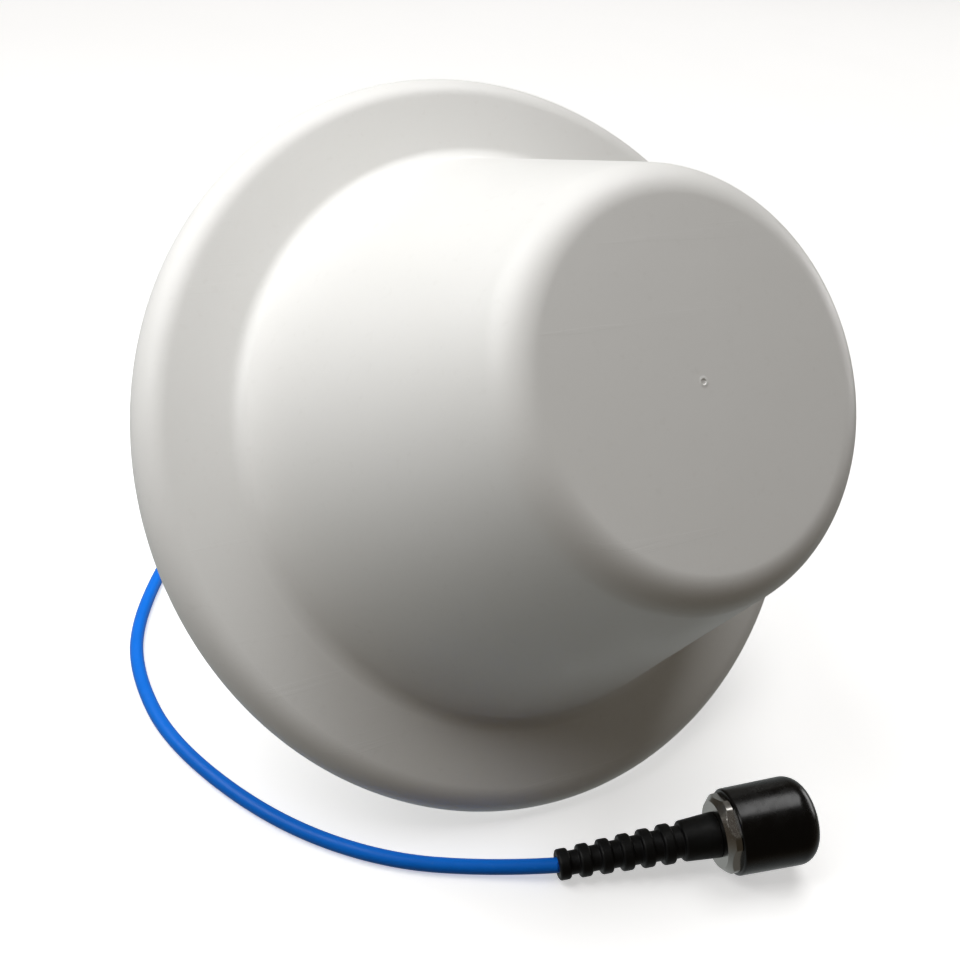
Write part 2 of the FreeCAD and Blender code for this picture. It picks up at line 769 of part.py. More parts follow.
def make_connector_body():
    body = new_body("connector_body")
    hexagon(body, "hexagon", "hex_flats", BOOT_END, "hex_height")
    outside = [
        ("hex_turned_radius - hex_edge", BOOT_END),
        ("hex_turned_radius + 2", BOOT_END),
        ("hex_turned_radius + 2", HEX_END),
        ("hex_turned_radius", HEX_END),
        ("hex_turned_radius", BOOT_END + " + hex_edge"),
    ]
    turn(body, "turned_corners", outside, cut=True)
    barrel = [
        ("0", "boot_length - spigot_length"),
        ("spigot_radius", "boot_length - spigot_length"),
        ("spigot_radius", BOOT_END + " + 1"),
        ("jack_neck_radius", BOOT_END + " + 1"),
        ("jack_neck_radius", HEX_END + " + jack_neck_height"),
        ("jack_radius", HEX_END + " + jack_neck_height + 0.8"),
        ("jack_radius", JACK_END + " - 1"),
        ("jack_radius - 1", JACK_END),
        ("0", JACK_END),
    ]
    turn(body, "barrel", barrel)
    bore = [
        ("0", "boot_length - spigot_length"),
        ("dielectric_radius", "boot_length - spigot_length"),
        ("dielectric_radius", BOOT_END + " + 3"),
        ("jack_seat", BOOT_END + " + 3"),
        ("jack_seat", SOCKET_FLOOR),
        ("jack_bore", SOCKET_FLOOR),
        ("jack_bore", JACK_END + " - 0.5"),
        ("jack_bore + 0.5", JACK_END),
        ("0", JACK_END),
    ]
    turn(body, "bore", bore, cut=True)
    return keep(body, connector_place)


def make_contact():
    bead_end = BOOT_END + " + bead_length + 3"
    tube("contact_bead", "contact_radius", "jack_seat", BOOT_END + " + 3", bead_end, connector_place)
    tip = JACK_END + " - contact_recess"
    contact = [
        ("conductor_radius", BOOT_END + " + 3"),
        ("contact_radius", BOOT_END + " + 3"),
        ("contact_radius", tip),
        ("contact_bore", tip),
        ("contact_bore", tip + " - contact_bore_depth"),
        ("conductor_radius", tip + " - contact_bore_depth"),
    ]
    turned("centre_contact", contact, connector_place)
    pin = BOOT_END + " + conductor_reach"
    tube("cable_end_conductor", "0", "conductor_radius", "0", pin, connector_place)


def make_dust_cap():
    body = new_body("dust_cap")
    far = HEX_END + " + cap_length"
    floor = HEX_END + " + cap_bore_depth"
    corners = [
        ("cap_bore + 0.8", HEX_END),
        ("cap_mouth_radius", HEX_END),
        ("cap_radius", far),
        ("0", far),
        ("0", floor),
        ("cap_bore", floor),
        ("cap_bore", HEX_END + " + 0.8"),
    ]
    solid = turn(body, "cap_solid", corners)
    rounded = round_off(body, "cap_end_round", solid, "cap_end_fillet", [corners[2]])
    round_off(body, "cap_mouth_round", rounded, "cap_mouth_fillet", [corners[1]])
    return keep(body, connector_place)


# ---------------------------------------------------------------- the assembly

make_radome()
make_ground_plane()
make_radome_screws()
make_mounting_stud()
make_stud_screws()
make_stud_nuts()
make_washer()
make_mounting_nut()
make_grommet()
make_feed_cable()
make_feed()
make_radiator()
make_posts()
make_rivets()
make_pigtail()
make_boot()
make_cable_end()
make_connector_body()
make_contact()
make_dust_cap()

doc.recompute()
for item in doc.Objects:
    if "Invalid" in item.State or "Error" in item.State:
        raise RuntimeError(f"{item.Label} failed: {item.State}")
for piece in nodes:
    if piece.Shape.isNull() or not piece.Shape.isValid() or piece.Shape.Volume <= 0:
        raise RuntimeError(f"{piece.Label} has no valid shape")

os.makedirs("parts", exist_ok=True)
box = FreeCAD.BoundBox()
for piece in nodes:
    piece.Shape.exportStep(f"parts/{piece.Label}.step")
    box.add(piece.Shape.BoundBox)
    print(f"{piece.Label}: {len(piece.Shape.Solids)} solids, {piece.Shape.Volume:.0f} mm3")
print(f"{len(nodes)} nodes, {box.XLength:.1f} x {box.YLength:.1f} x {box.ZLength:.1f}")
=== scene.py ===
"""Looks of the ceiling dome antenna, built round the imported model.

Everything ends up in metres, in the row frame. Profiles are written in mm as (radius, level) or
(radius, level, fillet) along their own axis, and MM turns them into metres.
"""
import json
import math

import bmesh
import bpy
from mathutils import Matrix, Vector


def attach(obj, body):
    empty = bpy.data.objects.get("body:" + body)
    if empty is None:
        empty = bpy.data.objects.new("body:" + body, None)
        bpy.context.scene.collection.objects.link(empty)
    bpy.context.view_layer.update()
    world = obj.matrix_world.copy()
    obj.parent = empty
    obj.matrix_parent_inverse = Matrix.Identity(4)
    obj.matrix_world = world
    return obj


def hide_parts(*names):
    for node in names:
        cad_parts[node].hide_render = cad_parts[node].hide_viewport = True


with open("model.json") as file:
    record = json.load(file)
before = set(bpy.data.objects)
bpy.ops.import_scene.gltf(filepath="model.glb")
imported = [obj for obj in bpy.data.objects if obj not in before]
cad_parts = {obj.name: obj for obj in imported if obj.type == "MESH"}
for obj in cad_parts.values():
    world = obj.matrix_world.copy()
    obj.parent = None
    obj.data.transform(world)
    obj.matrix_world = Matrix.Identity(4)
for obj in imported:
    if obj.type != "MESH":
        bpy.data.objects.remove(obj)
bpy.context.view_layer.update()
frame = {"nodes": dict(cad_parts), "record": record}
nodes = frame["nodes"]

MM = 0.001

# ---------------------------------------------------------------- camera

camera_data = bpy.data.cameras.new("camera")
camera_data.lens = 41.63
camera_data.sensor_width = 36.0
camera_data.clip_start = 0.01
camera = bpy.data.objects.new("camera", camera_data)
bpy.context.scene.collection.objects.link(camera)
# The view of the photograph, from one perspective fit of the antenna's outline.
look = Vector((0.48107, 0.69388, -0.53581)).normalized()
right = look.cross(Vector((0.16457, 0.52884, 0.83261))).normalized()
up = right.cross(look)
turn = Matrix((right, up, -look)).transposed().to_4x4()
camera.matrix_world = Matrix.Translation((-0.1702, -0.2192, 0.2549)) @ turn
bpy.context.scene.camera = camera

# ---------------------------------------------------------------- frames of the two groups

AXIS_ABOVE_TABLE = 38.3
LEAN = math.radians(90 - AXIS_ABOVE_TABLE)
RIM_RADIUS = 110
RIM_BEHIND_ORIGIN = 17.9
rim_height = RIM_RADIUS * MM * math.cos(math.radians(AXIS_ABOVE_TABLE))
rim_centre = (0, RIM_BEHIND_ORIGIN * MM, rim_height)
antenna_frame = Matrix.Translation(rim_centre) @ Matrix.Rotation(LEAN, 4, "X")

CABLE_DIAMETER = 4.2
CONNECTOR_HEADING, CONNECTOR_RISE, HEXAGON_TURN = -16.9, 8.4, -4.5

# The free pigtail's route from the grommet in the stud to the boot, in mm, as in part.py.
ROUTE_MM = [
    (0, 54.0, 57.8),
    (0, 69.7, 45.4),
    (8, 95, 29),
    (16, 119, 12),
    (8, 139, 2.1),
    (-16, 149.5, 2.1),
    (-46, 138, 2.1),
    (-78.5, 100, 2.1),
    (-99.5, 66, 2.1),
    (-105.5, 41.5, 2.1),
    (-104, 11.5, 2.1),
    (-88, -25, 2.1),
    (-65, -50.5, 2.1),
    (-37, -65.5, 2.1),
    (-21.7, -72.9, 4.7),
]
ROUTE = [Vector(p) * MM for p in ROUTE_MM]
connector_frame = (
    Matrix.Translation(ROUTE[-1])
    @ Matrix.Rotation(math.radians(CONNECTOR_HEADING), 4, "Z")
    @ Matrix.Rotation(math.radians(90 - CONNECTOR_RISE), 4, "Y")
    @ Matrix.Rotation(math.radians(HEXAGON_TURN), 4, "Z")
)

# ---------------------------------------------------------------- node helpers


class Shader:
    """A node material on one principled shader, with shorthands for its inputs."""

    def __init__(self, name, colour, roughness, metallic=0.0):
        self.material = bpy.data.materials.new(name)
        self.material.use_nodes = True
        self.tree = self.material.node_tree
        self.out = self.tree.nodes["Principled BSDF"]
        self.out.inputs["Metallic"].default_value = metallic
        self.colour = colour
        self.painted = None
        self.roughness = roughness
        self.height = None
        self.material.diffuse_color = (*colour, 1)

    def node(self, kind, **inputs):
        made = self.tree.nodes.new(kind)
        for name, value in inputs.items():
            made.inputs[name.replace("_", " ")].default_value = value
        return made

    def link(self, source, target):
        self.tree.links.new(source, target)

    def place(self, stretch=(1, 1, 1), turn=(0, 0, 0)):
        where = self.node("ShaderNodeTexCoord").outputs["Object"]
        mapping = self.node("ShaderNodeMapping")
        mapping.inputs["Scale"].default_value = stretch
        mapping.inputs["Rotation"].default_value = turn
        self.link(where, mapping.inputs["Vector"])
        return mapping.outputs["Vector"]

    def noise(self, scale, detail=4.0, stretch=(1, 1, 1), turn=(0, 0, 0), warp=0.0):
        made = self.node("ShaderNodeTexNoise", Scale=scale, Detail=detail, Distortion=warp)
        made.inputs["Roughness"].default_value = 0.55
        self.link(self.place(stretch, turn), made.inputs["Vector"])
        return made.outputs["Fac"]

    def ramp(self, source, low, high, to_low=0.0, to_high=1.0):
        made = self.node("ShaderNodeMapRange")
        made.inputs["From Min"].default_value = low
        made.inputs["From Max"].default_value = high
        made.inputs["To Min"].default_value = to_low
        made.inputs["To Max"].default_value = to_high
        self.link(source, made.inputs["Value"])
        return made.outputs["Result"]

    def mix(self, factor, first, second):
        made = self.node("ShaderNodeMix")
        made.data_type = "RGBA"
        for value, name in ((first, 6), (second, 7)):
            if isinstance(value, tuple):
                made.inputs[name].default_value = (*value, 1)
            else:
                self.link(value, made.inputs[name])
        self.link(factor, made.inputs[0])
        return made.outputs[2]

    def paint(self, factor, over):
        """Lays another colour over what is painted so far, where the factor is high."""
        under = self.colour if self.painted is None else self.painted
        self.painted = self.mix(factor, under, over)

    def rough(self, source, low, high):
        self.link(self.ramp(source, 0.3, 0.7, low, high), self.out.inputs["Roughness"])

    def bump(self, source, depth, strength=1.0):
        made = self.node("ShaderNodeBump", Strength=strength, Distance=depth)
        self.link(source, made.inputs["Height"])
        if self.height is not None:
            self.link(self.height, made.inputs["Normal"])
        self.height = made.outputs["Normal"]

    def edges(self, radius):
        """How much a rounded edge would turn the surface here, from 0 to 1."""
        bevel = self.tree.nodes.new("ShaderNodeBevel")
        bevel.samples = 6
        bevel.inputs["Radius"].default_value = radius
        flat = self.node("ShaderNodeNewGeometry").outputs["Normal"]
        dot = self.node("ShaderNodeVectorMath")
        dot.operation = "DOT_PRODUCT"
        self.link(bevel.outputs["Normal"], dot.inputs[0])
        self.link(flat, dot.inputs[1])
        return self.ramp(dot.outputs["Value"], 0.995, 0.85)

    def shine(self, level):
        self.out.inputs["Specular IOR Level"].default_value = level

    def glow(self, strength):
        self.out.inputs["Emission Color"].default_value = (1, 1, 1, 1)
        self.out.inputs["Emission Strength"].default_value = strength

    def done(self):
        if self.painted is not None:
            self.link(self.painted, self.out.inputs["Base Color"])
        else:
            self.out.inputs["Base Color"].default_value = (*self.colour, 1)
        if not self.out.inputs["Roughness"].is_linked:
            self.out.inputs["Roughness"].default_value = self.roughness
        if self.height is not None:
            self.link(self.height, self.out.inputs["Normal"])
        return self.material


def times(colour, factor):
    return tuple(min(1.0, c * factor) for c in colour)


# ---------------------------------------------------------------- materials


def radome_plastic():
    white = (0.86, 0.86, 0.845)
    s = Shader("radome_plastic_look", white, 0.4)
    s.paint(s.ramp(s.noise(14, 3), 0.35, 0.7, 0, 0.5), (0.83, 0.828, 0.805))
    s.paint(s.ramp(s.noise(420, 2), 0.62, 0.8, 0, 0.35), (0.78, 0.775, 0.75))
    s.rough(s.noise(60, 5), 0.36, 0.47)
    s.bump(s.noise(22, 2), 0.0005, 0.25)
    s.bump(s.noise(2600, 2), 0.00003, 0.35)
    s.bump(s.ramp(s.noise(7, 4, stretch=(1, 26, 26), warp=0.4), 0.63, 0.66), 0.00004, 0.3)
    s.shine(0.45)
    return s.done()


def blue_jacket():
    blue = (0.006, 0.215, 0.95)
    s = Shader("blue_jacket_look", blue, 0.36)
    s.paint(s.ramp(s.noise(90, 3), 0.35, 0.7, 0, 0.5), (0.004, 0.18, 0.82))
    s.paint(s.ramp(s.noise(900, 2), 0.62, 0.75, 0, 0.4), (0.03, 0.24, 0.88))
    s.shine(0.22)
    s.rough(s.noise(300, 4), 0.3, 0.44)
    s.bump(s.noise(160, 2), 0.0002, 0.3)
    s.bump(s.noise(3200, 2), 0.00002, 0.4)
    return s.done()


def black_rubber():
    black = (0.0032, 0.0036, 0.004)
    s = Shader("black_rubber_look", black, 0.5)
    s.paint(s.ramp(s.noise(240, 4), 0.45, 0.75, 0, 0.8), (0.007, 0.0075, 0.008))
    # painted highlight: the edges are painted lighter, standing in for the light a rounded edge would catch
    s.paint(s.edges(0.0004), (0.013, 0.014, 0.015))
    s.shine(0.3)
    s.rough(s.noise(500, 4), 0.42, 0.6)
    s.bump(s.noise(2400, 3), 0.00005, 0.5)
    return s.done()


def black_plastic():
    black = (0.0018, 0.0018, 0.0019)
    s = Shader("black_plastic_look", black, 0.24)
    s.paint(s.ramp(s.noise(160, 4), 0.5, 0.8, 0, 0.6), (0.0035, 0.0035, 0.004))
    s.paint(s.ramp(s.noise(2100, 2), 0.7, 0.8, 0, 0.7), (0.011, 0.011, 0.012))
    s.shine(0.42)
    s.rough(s.noise(260, 5), 0.18, 0.32)
    s.bump(s.noise(120, 2), 0.0002, 0.25)
    s.bump(s.noise(3000, 2), 0.00001, 0.5)
    return s.done()


def metal(name, colour, roughness, grain, stretch=(1, 1, 1), turn=(0, 0, 0), stain=0.8, painted_edge_highlight=0.0, relief=0.4):
    """A metal with stains, brushed or tumbled grain, and a painted highlight: its edges painted lighter, as
    if they caught the light.
    """
    s = Shader(name, colour, roughness[0], 1.0)
    s.paint(s.ramp(s.noise(grain * 0.06, 4), 0.45, 0.75, 0, 0.7), times(colour, stain))
    # painted highlight: the edges are painted a lighter colour, standing in for the light a rounded edge
    # would catch
    if painted_edge_highlight:
        s.paint(s.edges(painted_edge_highlight), times(colour, 1.25))
    lines = s.noise(grain, 3, stretch=stretch, turn=turn)
    s.rough(lines, *roughness)
    s.bump(lines, 0.00003, relief)
    return s.done()


def polymer(name, colour, roughness, stain=0.92):
    """An unfilled moulded plastic."""
    s = Shader(name, colour, roughness[0])
    s.paint(s.ramp(s.noise(70, 4), 0.4, 0.75, 0, 0.7), times(colour, stain))
    s.rough(s.noise(300.0, 4), *roughness)
    s.bump(s.noise(1500, 3), 0.00004, 0.4)
    return s.done()


def braid():
    tin = (0.62, 0.62, 0.6)
    s = Shader("tinned_braid_look", tin, 0.4, 1.0)
    waves = []
    for side in (1, -1):
        wave = s.node("ShaderNodeTexWave", Scale=420.0, Distortion=0.6)
        s.link(s.place(turn=(0, 0, side * 0.6)), wave.inputs["Vector"])
        waves.append(wave.outputs["Fac"])
        s.bump(wave.outputs["Fac"], 0.0001, 0.7)
    # painted shade: the weave's grooves, where the first wave is low, are painted darker
    s.paint(s.ramp(waves[0], 0.0, 0.5, 0.7, 0.0), times(tin, 0.45))
    s.rough(s.noise(700, 3), 0.34, 0.52)
    return s.done()


ALONG_BACK = {"turn": (-LEAN, 0, 0)}
MATERIALS = {
    "radome_plastic": radome_plastic(),
    "aluminium_sheet": metal(
        "aluminium_sheet_look", (0.72, 0.73, 0.74), (0.28, 0.44), 900, (0.05, 1, 1), **ALONG_BACK, stain=0.86
    ),
    "stud_alloy": metal("stud_alloy_look", (0.56, 0.57, 0.59), (0.26, 0.4), 1600, painted_edge_highlight=0.0003),
    "zinc_steel": metal("zinc_steel_look", (0.6, 0.62, 0.66), (0.22, 0.42), 1100, stain=0.78, painted_edge_highlight=0.0002),
    "stainless": metal(
        "stainless_look", (0.53, 0.53, 0.52), (0.2, 0.36), 1300, (1, 0.06, 1), **ALONG_BACK, stain=0.84,
        painted_edge_highlight=0.0003,
    ),
    "nylon": polymer("nylon_look", (0.72, 0.7, 0.64), (0.36, 0.5)),
    "black_rubber": black_rubber(),
    "blue_jacket": blue_jacket(),
    "tinned_braid": braid(),
    "ptfe": polymer("ptfe_look", (0.85, 0.85, 0.83), (0.34, 0.46), 0.95),
    "silvered_wire": metal("silvered_wire_look", (0.82, 0.8, 0.75), (0.14, 0.26), 2000),
    "brass": metal("brass_look", (0.72, 0.5, 0.2), (0.2, 0.36), 1600, stain=0.75, painted_edge_highlight=0.0002),
    "nickel": metal("nickel_look", (0.39, 0.38, 0.36), (0.2, 0.27), 1500, stain=0.95, relief=0.05),
    "black_plastic": black_plastic(),
}

for entry in frame["record"]["subparts"]:
    piece = nodes[entry["node"]]
    piece.data.materials.clear()
    piece.data.materials.append(MATERIALS[entry["material_slot"]])

# ---------------------------------------------------------------- mesh helpers


def rounded(corners, steps=8):
    """A profile with an arc at each corner that gives a radius: (radius, level, fillet)."""
    made = []
    for i, corner in enumerate(corners):
        here = Vector(corner[:2])
        fillet = corner[2] if len(corner) > 2 else 0
        if not fillet:
            made.append(here)
            continue
        before = (Vector(corners[i - 1][:2]) - here).normalized()
        after = (Vector(corners[i + 1][:2]) - here).normalized()
        half = before.angle(after) / 2
        reach = fillet / math.tan(half)
        centre = here + (before + after).normalized() * (fillet / math.sin(half))
        start, end = here + before * reach - centre, here + after * reach - centre
        sweep = start.angle_signed(end)
        for k in range(steps + 1):
            a = -sweep * k / steps
            x = start.x * math.cos(a) - start.y * math.sin(a)
            y = start.x * math.sin(a) + start.y * math.cos(a)
            made.append(centre + Vector((x, y)))
    return [(p.x, p.y) for p in made]


def finish_piece(name, mesh_maker, where, body, slot_name, replaced, sharp=35):
    """Makes the visible piece that stands for the replaced nodes and rides on a body of the frame."""
    data = bpy.data.meshes.new(name)
    mesh_maker.transform(where)
    bmesh.ops.recalc_face_normals(mesh_maker, faces=mesh_maker.faces)
    for face in mesh_maker.faces:
        face.smooth = True
    mesh_maker.to_mesh(data)
    mesh_maker.free()
    data.set_sharp_from_angle(angle=math.radians(sharp))
    data.materials.append(MATERIALS[slot_name])
    made = bpy.data.objects.new(name, data)
    bpy.context.scene.collection.objects.link(made)
    weighted = made.modifiers.new("weighted", "WEIGHTED_NORMAL")
    weighted.keep_sharp = True
    weighted.weight = 80
    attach(made, body)
    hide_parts(*replaced)
    return made


def rings(profile, count, radius_at=None, thread=None):
    """A closed solid of revolution in mm, as a bmesh in metres. A profile point at radius 0 is a pole.

    The stretch that starts at the profile point thread["after"] gets a screw thread.
    """
    bm = bmesh.new()
    rows = []
    for r, z in profile:
        if r < 1e-6:
            rows.append([bm.verts.new((0, 0, z * MM))])
            continue
        row = []
        for k in range(count):
            a = 2 * math.pi * k / count
            at = r if radius_at is None else radius_at(r, z, a)
            row.append(bm.verts.new((at * math.cos(a) * MM, at * math.sin(a) * MM, z * MM)))
        rows.append(row)
    closed = profile[0][0] > 1e-6 and profile[-1][0] > 1e-6
    for index, (low, high) in enumerate(zip(rows, rows[1:] + ([rows[0]] if closed else []))):
        if thread and math.dist(profile[index], thread["after"]) < 0.001:
            screw_thread(bm, low, high, profile[index], profile[index + 1], thread)
            continue
        for k in range(count):
            n = (k + 1) % count
            if len(low) == 1 and len(high) == 1:
                continue
            if len(low) == 1:
                bm.faces.new((low[0], high[n], high[k]))
            elif len(high) == 1:
                bm.faces.new((low[k], low[n], high[0]))
            else:
                bm.faces.new((low[k], low[n], high[n], high[k]))
    return bm


TURN_ROWS = 12


def screw_thread(bm, low, high, start, end, thread):
    """A right-hand V thread between two rings, on rows that follow the helix and ease out at both ends."""
    radius, pitch, count = start[0], thread["pitch"], len(low)
    step = pitch / TURN_ROWS
    columns = []
    for k in range(count):
        angle, lead = 2 * math.pi * k / count, TURN_ROWS * k / count
        column = {}
        first = math.ceil((start[1] + 0.2 * step) / step - lead)
        last = math.floor((end[1] - 0.2 * step) / step - lead)
        for j in range(first, last + 1):
            z = (j + lead) * step
            cut = min(1.0, max(0.0, 1.25 * (1 - abs(2 * (j / TURN_ROWS % 1.0) - 1)) - 0.05))
            ease = min(1.0, (z - start[1]) / pitch, (end[1] - z) / pitch)
            at = radius - thread["depth"] * cut * ease
            column[j] = bm.verts.new((at * math.cos(angle) * MM, at * math.sin(angle) * MM, z * MM))
        columns.append(column)
    for k in range(count):
        n = (k + 1) % count
        here, wrap = columns[k], TURN_ROWS if n == 0 else 0
        beside = {j - wrap: vert for j, vert in columns[n].items()}
        shared = sorted(here.keys() & beside.keys())
        for j in shared[:-1]:
            bm.faces.new((here[j], beside[j], beside[j + 1], here[j + 1]))
        first, last = shared[0], shared[-1]
        up = [beside[j] for j in sorted(beside) if j <= first]
        down = [here[j] for j in sorted(here, reverse=True) if j <= first]
        bm.faces.new([low[k], low[n], *up, *down])
        up = [beside[j] for j in sorted(beside) if j >= last]
        down = [here[j] for j in sorted(here, reverse=True) if j >= last]
        bm.faces.new([*up, high[n], high[k], *down])


def as_object(name, mesh_maker):
    """A plain object with the bmesh's mesh; the bmesh is spent."""
    data = bpy.data.meshes.new(name)
    mesh_maker.to_mesh(data)
    mesh_maker.free()
    made = bpy.data.objects.new(name, data)
    bpy.context.scene.collection.objects.link(made)
    return made


def carve(solid, tool):
    """The first mesh with the second one's solid cut out of it, as a new bmesh."""
    for mesh_maker in (solid, tool):
        bmesh.ops.recalc_face_normals(mesh_maker, faces=mesh_maker.faces)
    block, cutter = as_object("block", solid), as_object("cutter", tool)
    trim = block.modifiers.new("trim", "BOOLEAN")
    trim.operation = "DIFFERENCE"
    trim.object = cutter
    trim.solver = "EXACT"
    cut = bmesh.new()
    cut.from_object(block, bpy.context.evaluated_depsgraph_get())
    for spent in (block, cutter):
        bpy.data.meshes.remove(spent.data)
    return cut


def joined(makers):
    """Several bmeshes as one."""
    whole = bmesh.new()
    for mesh_maker in makers:
        spare = bpy.data.meshes.new("spare")
        mesh_maker.to_mesh(spare)
        mesh_maker.free()
        whole.from_mesh(spare)
        bpy.data.meshes.remove(spare)
    return whole


SLAB_TAPER = 0.62


def slab(length, width, low, high, turned):
    """A bar of one arm of a cross recess, centred on the axis, narrowing towards its high end."""
    bm = bmesh.new()
    bmesh.ops.create_cube(bm, size=1.0)
    for vert in bm.verts:
        taper = SLAB_TAPER if vert.co.z > 0 else 1.0
        vert.co.x *= length * taper * MM
        vert.co.y *= width * MM
        vert.co.z = (high if vert.co.z > 0 else low) * MM
    bm.transform(Matrix.Rotation(turned, 4, "Z"))
    return bm


def screw(profile, reach, depth, turned):
    """A turned screw whose head, at its low end, has a cross recess."""
    low = min(z for _, z in profile)
    solid = rings(profile, 48)
    for arm in range(2):
        solid = carve(solid, slab(reach, 0.24 * reach, low - 0.5, low + depth, turned + arm * math.pi / 2))
    return solid


def ring_of_screws(count, circle, profile, reach, depth):
    """Screws evenly round a circle, each with its recess turned its own way."""
    made = []
    for k in range(count):
        angle = 2 * math.pi * k / count
        one = screw(profile, reach, depth, 0.5 + 2.4 * k)
        one.transform(Matrix.Translation((circle * math.cos(angle) * MM, circle * math.sin(angle) * MM, 0)))
        made.append(one)
    return joined(made)


# ---------------------------------------------------------------- pigtail

curve = bpy.data.curves.new("pigtail", "CURVE")
curve.dimensions = "3D"
curve.bevel_depth = CABLE_DIAMETER / 2 * MM
curve.bevel_resolution = 8
curve.resolution_u = 28
curve.use_fill_caps = True
spline = curve.splines.new("NURBS")
spline.points.add(len(ROUTE) - 1)
for point, place in zip(spline.points, ROUTE):
    point.co = (*place, 1)
spline.order_u = 3
spline.use_endpoint_u = True
curve.materials.append(MATERIALS["blue_jacket"])
pigtail = bpy.data.objects.new("pigtail", curve)
bpy.context.scene.collection.objects.link(pigtail)
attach(pigtail, "antenna")
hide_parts("pigtail_cable")

# ---------------------------------------------------------------- radome

# The first points are the gate mark, a dimple with a raised lip, and close rows that keep it local.
RADOME = [
    (0, 93.86),
    (0.55, 93.86),
    (0.75, 94.06),
    (1.05, 94.1),
    (1.3, 94.0),
    (1.5, 94.0),
    (3.0, 94.0),
    (12.0, 94.0),
    (51.4, 94, 10.7),
    (83.5, 8.6, 5),
    (RIM_RADIUS, 8.6, 7.6),
    (RIM_RADIUS, 0, 0.3),
    (107.4, 0, 0.3),
    (107.4, 6, 5),
    (81.7, 6, 2.4),
    (49.6, 91.4, 8.1),
    (0, 91.4),
]
radome_solid = rings(rounded(RADOME, 14), 360)
finish_piece("radome_shell", radome_solid, antenna_frame, "antenna", "radome_plastic", ["radome"])

# ---------------------------------------------------------------- boot, jack and cap

BOOT_END, HEX_END, CAP_END = 46.5, 50.3, 74.6
RIBS, RIB_PITCH, RIB_WIDTH = 6, 6.0, 3.35
SLEEVE_START, BOOT_SOCKET, CRIMP_RADIUS = RIBS * RIB_PITCH, 32.5, 3.3
boot = [(CABLE_DIAMETER / 2, 0.4), (2.5, 0)]
for ring in range(RIBS):
    start, rib, core = RIB_PITCH * ring, 4.22 + 0.265 * ring, 3.24 + 0.24 * ring
    boot += [(rib, start, 0.75), (rib, start + RIB_WIDTH, 0.75), (core, start + RIB_WIDTH, 0.3)]
    if ring < RIBS - 1:
        boot += [(core + 0.02, start + RIB_PITCH, 0.3)]
boot += [(core, SLEEVE_START, 0.3), (5.58, SLEEVE_START, 0.9), (6.33, BOOT_END, 0.25)]
boot += [(CRIMP_RADIUS, BOOT_END), (CRIMP_RADIUS, BOOT_SOCKET), (CABLE_DIAMETER / 2, BOOT_SOCKET)]
boot_solid = rings(rounded(boot, 5), 96)
boot_piece = finish_piece(
    "boot", boot_solid, connector_frame, "antenna", "black_rubber", ["bend_relief_boot"], sharp=50
)

HEX_FLATS, HEX_TURNED, HEX_EDGE = 20.6, 11.1, 1.8
JACK_RADIUS, THREAD_START, JACK_END = 7.94, 53.1, 66.3
SOCKET_FLOOR, BEAD_BACK, SPIGOT_START = 57.3, 49.5, 36.5
CONE_ROWS = 12


def jack_radius(r, z, angle):
    """The hexagon's flats, cut into whatever is turned wider than they are."""
    if not BOOT_END <= z <= HEX_END or r < 9:
        return r
    facet = (math.degrees(angle) % 60) - 30
    return min(r, 0.5 * HEX_FLATS / math.cos(math.radians(facet)))


jack = [(2.6, SPIGOT_START), (2.6, BOOT_END), (HEX_TURNED - HEX_EDGE - 0.1, BOOT_END)]
for k in range(CONE_ROWS + 1):
    jack += [(HEX_TURNED - HEX_EDGE * (1 - k / CONE_ROWS), BOOT_END + HEX_EDGE * k / CONE_ROWS)]
jack += [(HEX_TURNED, HEX_END - 0.2), (HEX_TURNED - 0.2, HEX_END), (6.9, HEX_END), (6.9, 52.3), (7.3, 52.7)]
jack += [(JACK_RADIUS, THREAD_START), (JACK_RADIUS, 65.4), (7.3, 66.15), (6.94, JACK_END)]
jack += [(4.55, JACK_END), (4.05, 65.8), (4.05, SOCKET_FLOOR), (3.5, SOCKET_FLOOR)]
jack += [(3.5, BEAD_BACK), (1.475, BEAD_BACK), (1.475, SPIGOT_START)]
jack_thread = {"after": (JACK_RADIUS, THREAD_START), "pitch": 25.4 / 24, "depth": 0.6}
jack_solid = rings(jack, 240, jack_radius, jack_thread)
jack_piece = finish_piece("jack", jack_solid, connector_frame, "antenna", "nickel", ["connector_body"], 16)

CAP_BORE, CAP_FLOOR = 8.0, 67.3
cap = [(CAP_BORE, HEX_END + 0.8), (8.8, HEX_END, 0.2), (12.05, HEX_END, 0.8), (12.5, CAP_END, 5.75)]
cap += [(0, CAP_END), (0, CAP_FLOOR), (CAP_BORE, CAP_FLOOR)]
cap_solid = rings(rounded(cap, 12), 160)
cap_piece = finish_piece("cap", cap_solid, connector_frame, "cap", "black_plastic", ["dust_cap"], sharp=40)

# ---------------------------------------------------------------- stud and screws

FLANGE_CIRCLE, RIM_CIRCLE, POST_CIRCLE = 18.5, 75, 44.5
FLANGE_RADIUS, FLANGE_BACK, PLANE_BACK = 23, 1.5, 4.0
STUD_RADIUS, STUD_BORE, STUD_TIP, STUD_THREAD_START = 12.5, 7.5, -44, -43.1
stud = [(STUD_BORE, STUD_TIP), (11.3, STUD_TIP), (12.3, -43.3), (STUD_RADIUS, STUD_THREAD_START)]
stud += [(STUD_RADIUS, 0.9), (12.3, FLANGE_BACK), (FLANGE_RADIUS, FLANGE_BACK, 0.3)]
stud += [(FLANGE_RADIUS, PLANE_BACK, 0.3), (STUD_BORE, PLANE_BACK)]
stud_thread = {"after": (STUD_RADIUS, STUD_THREAD_START), "pitch": 2.0, "depth": 1.15}
sink = [(0, 1.0), (3.5, 1.0), (3.0, FLANGE_BACK), (1.55, 3.05), (1.55, 4.5), (0, 4.5)]
sinks = []
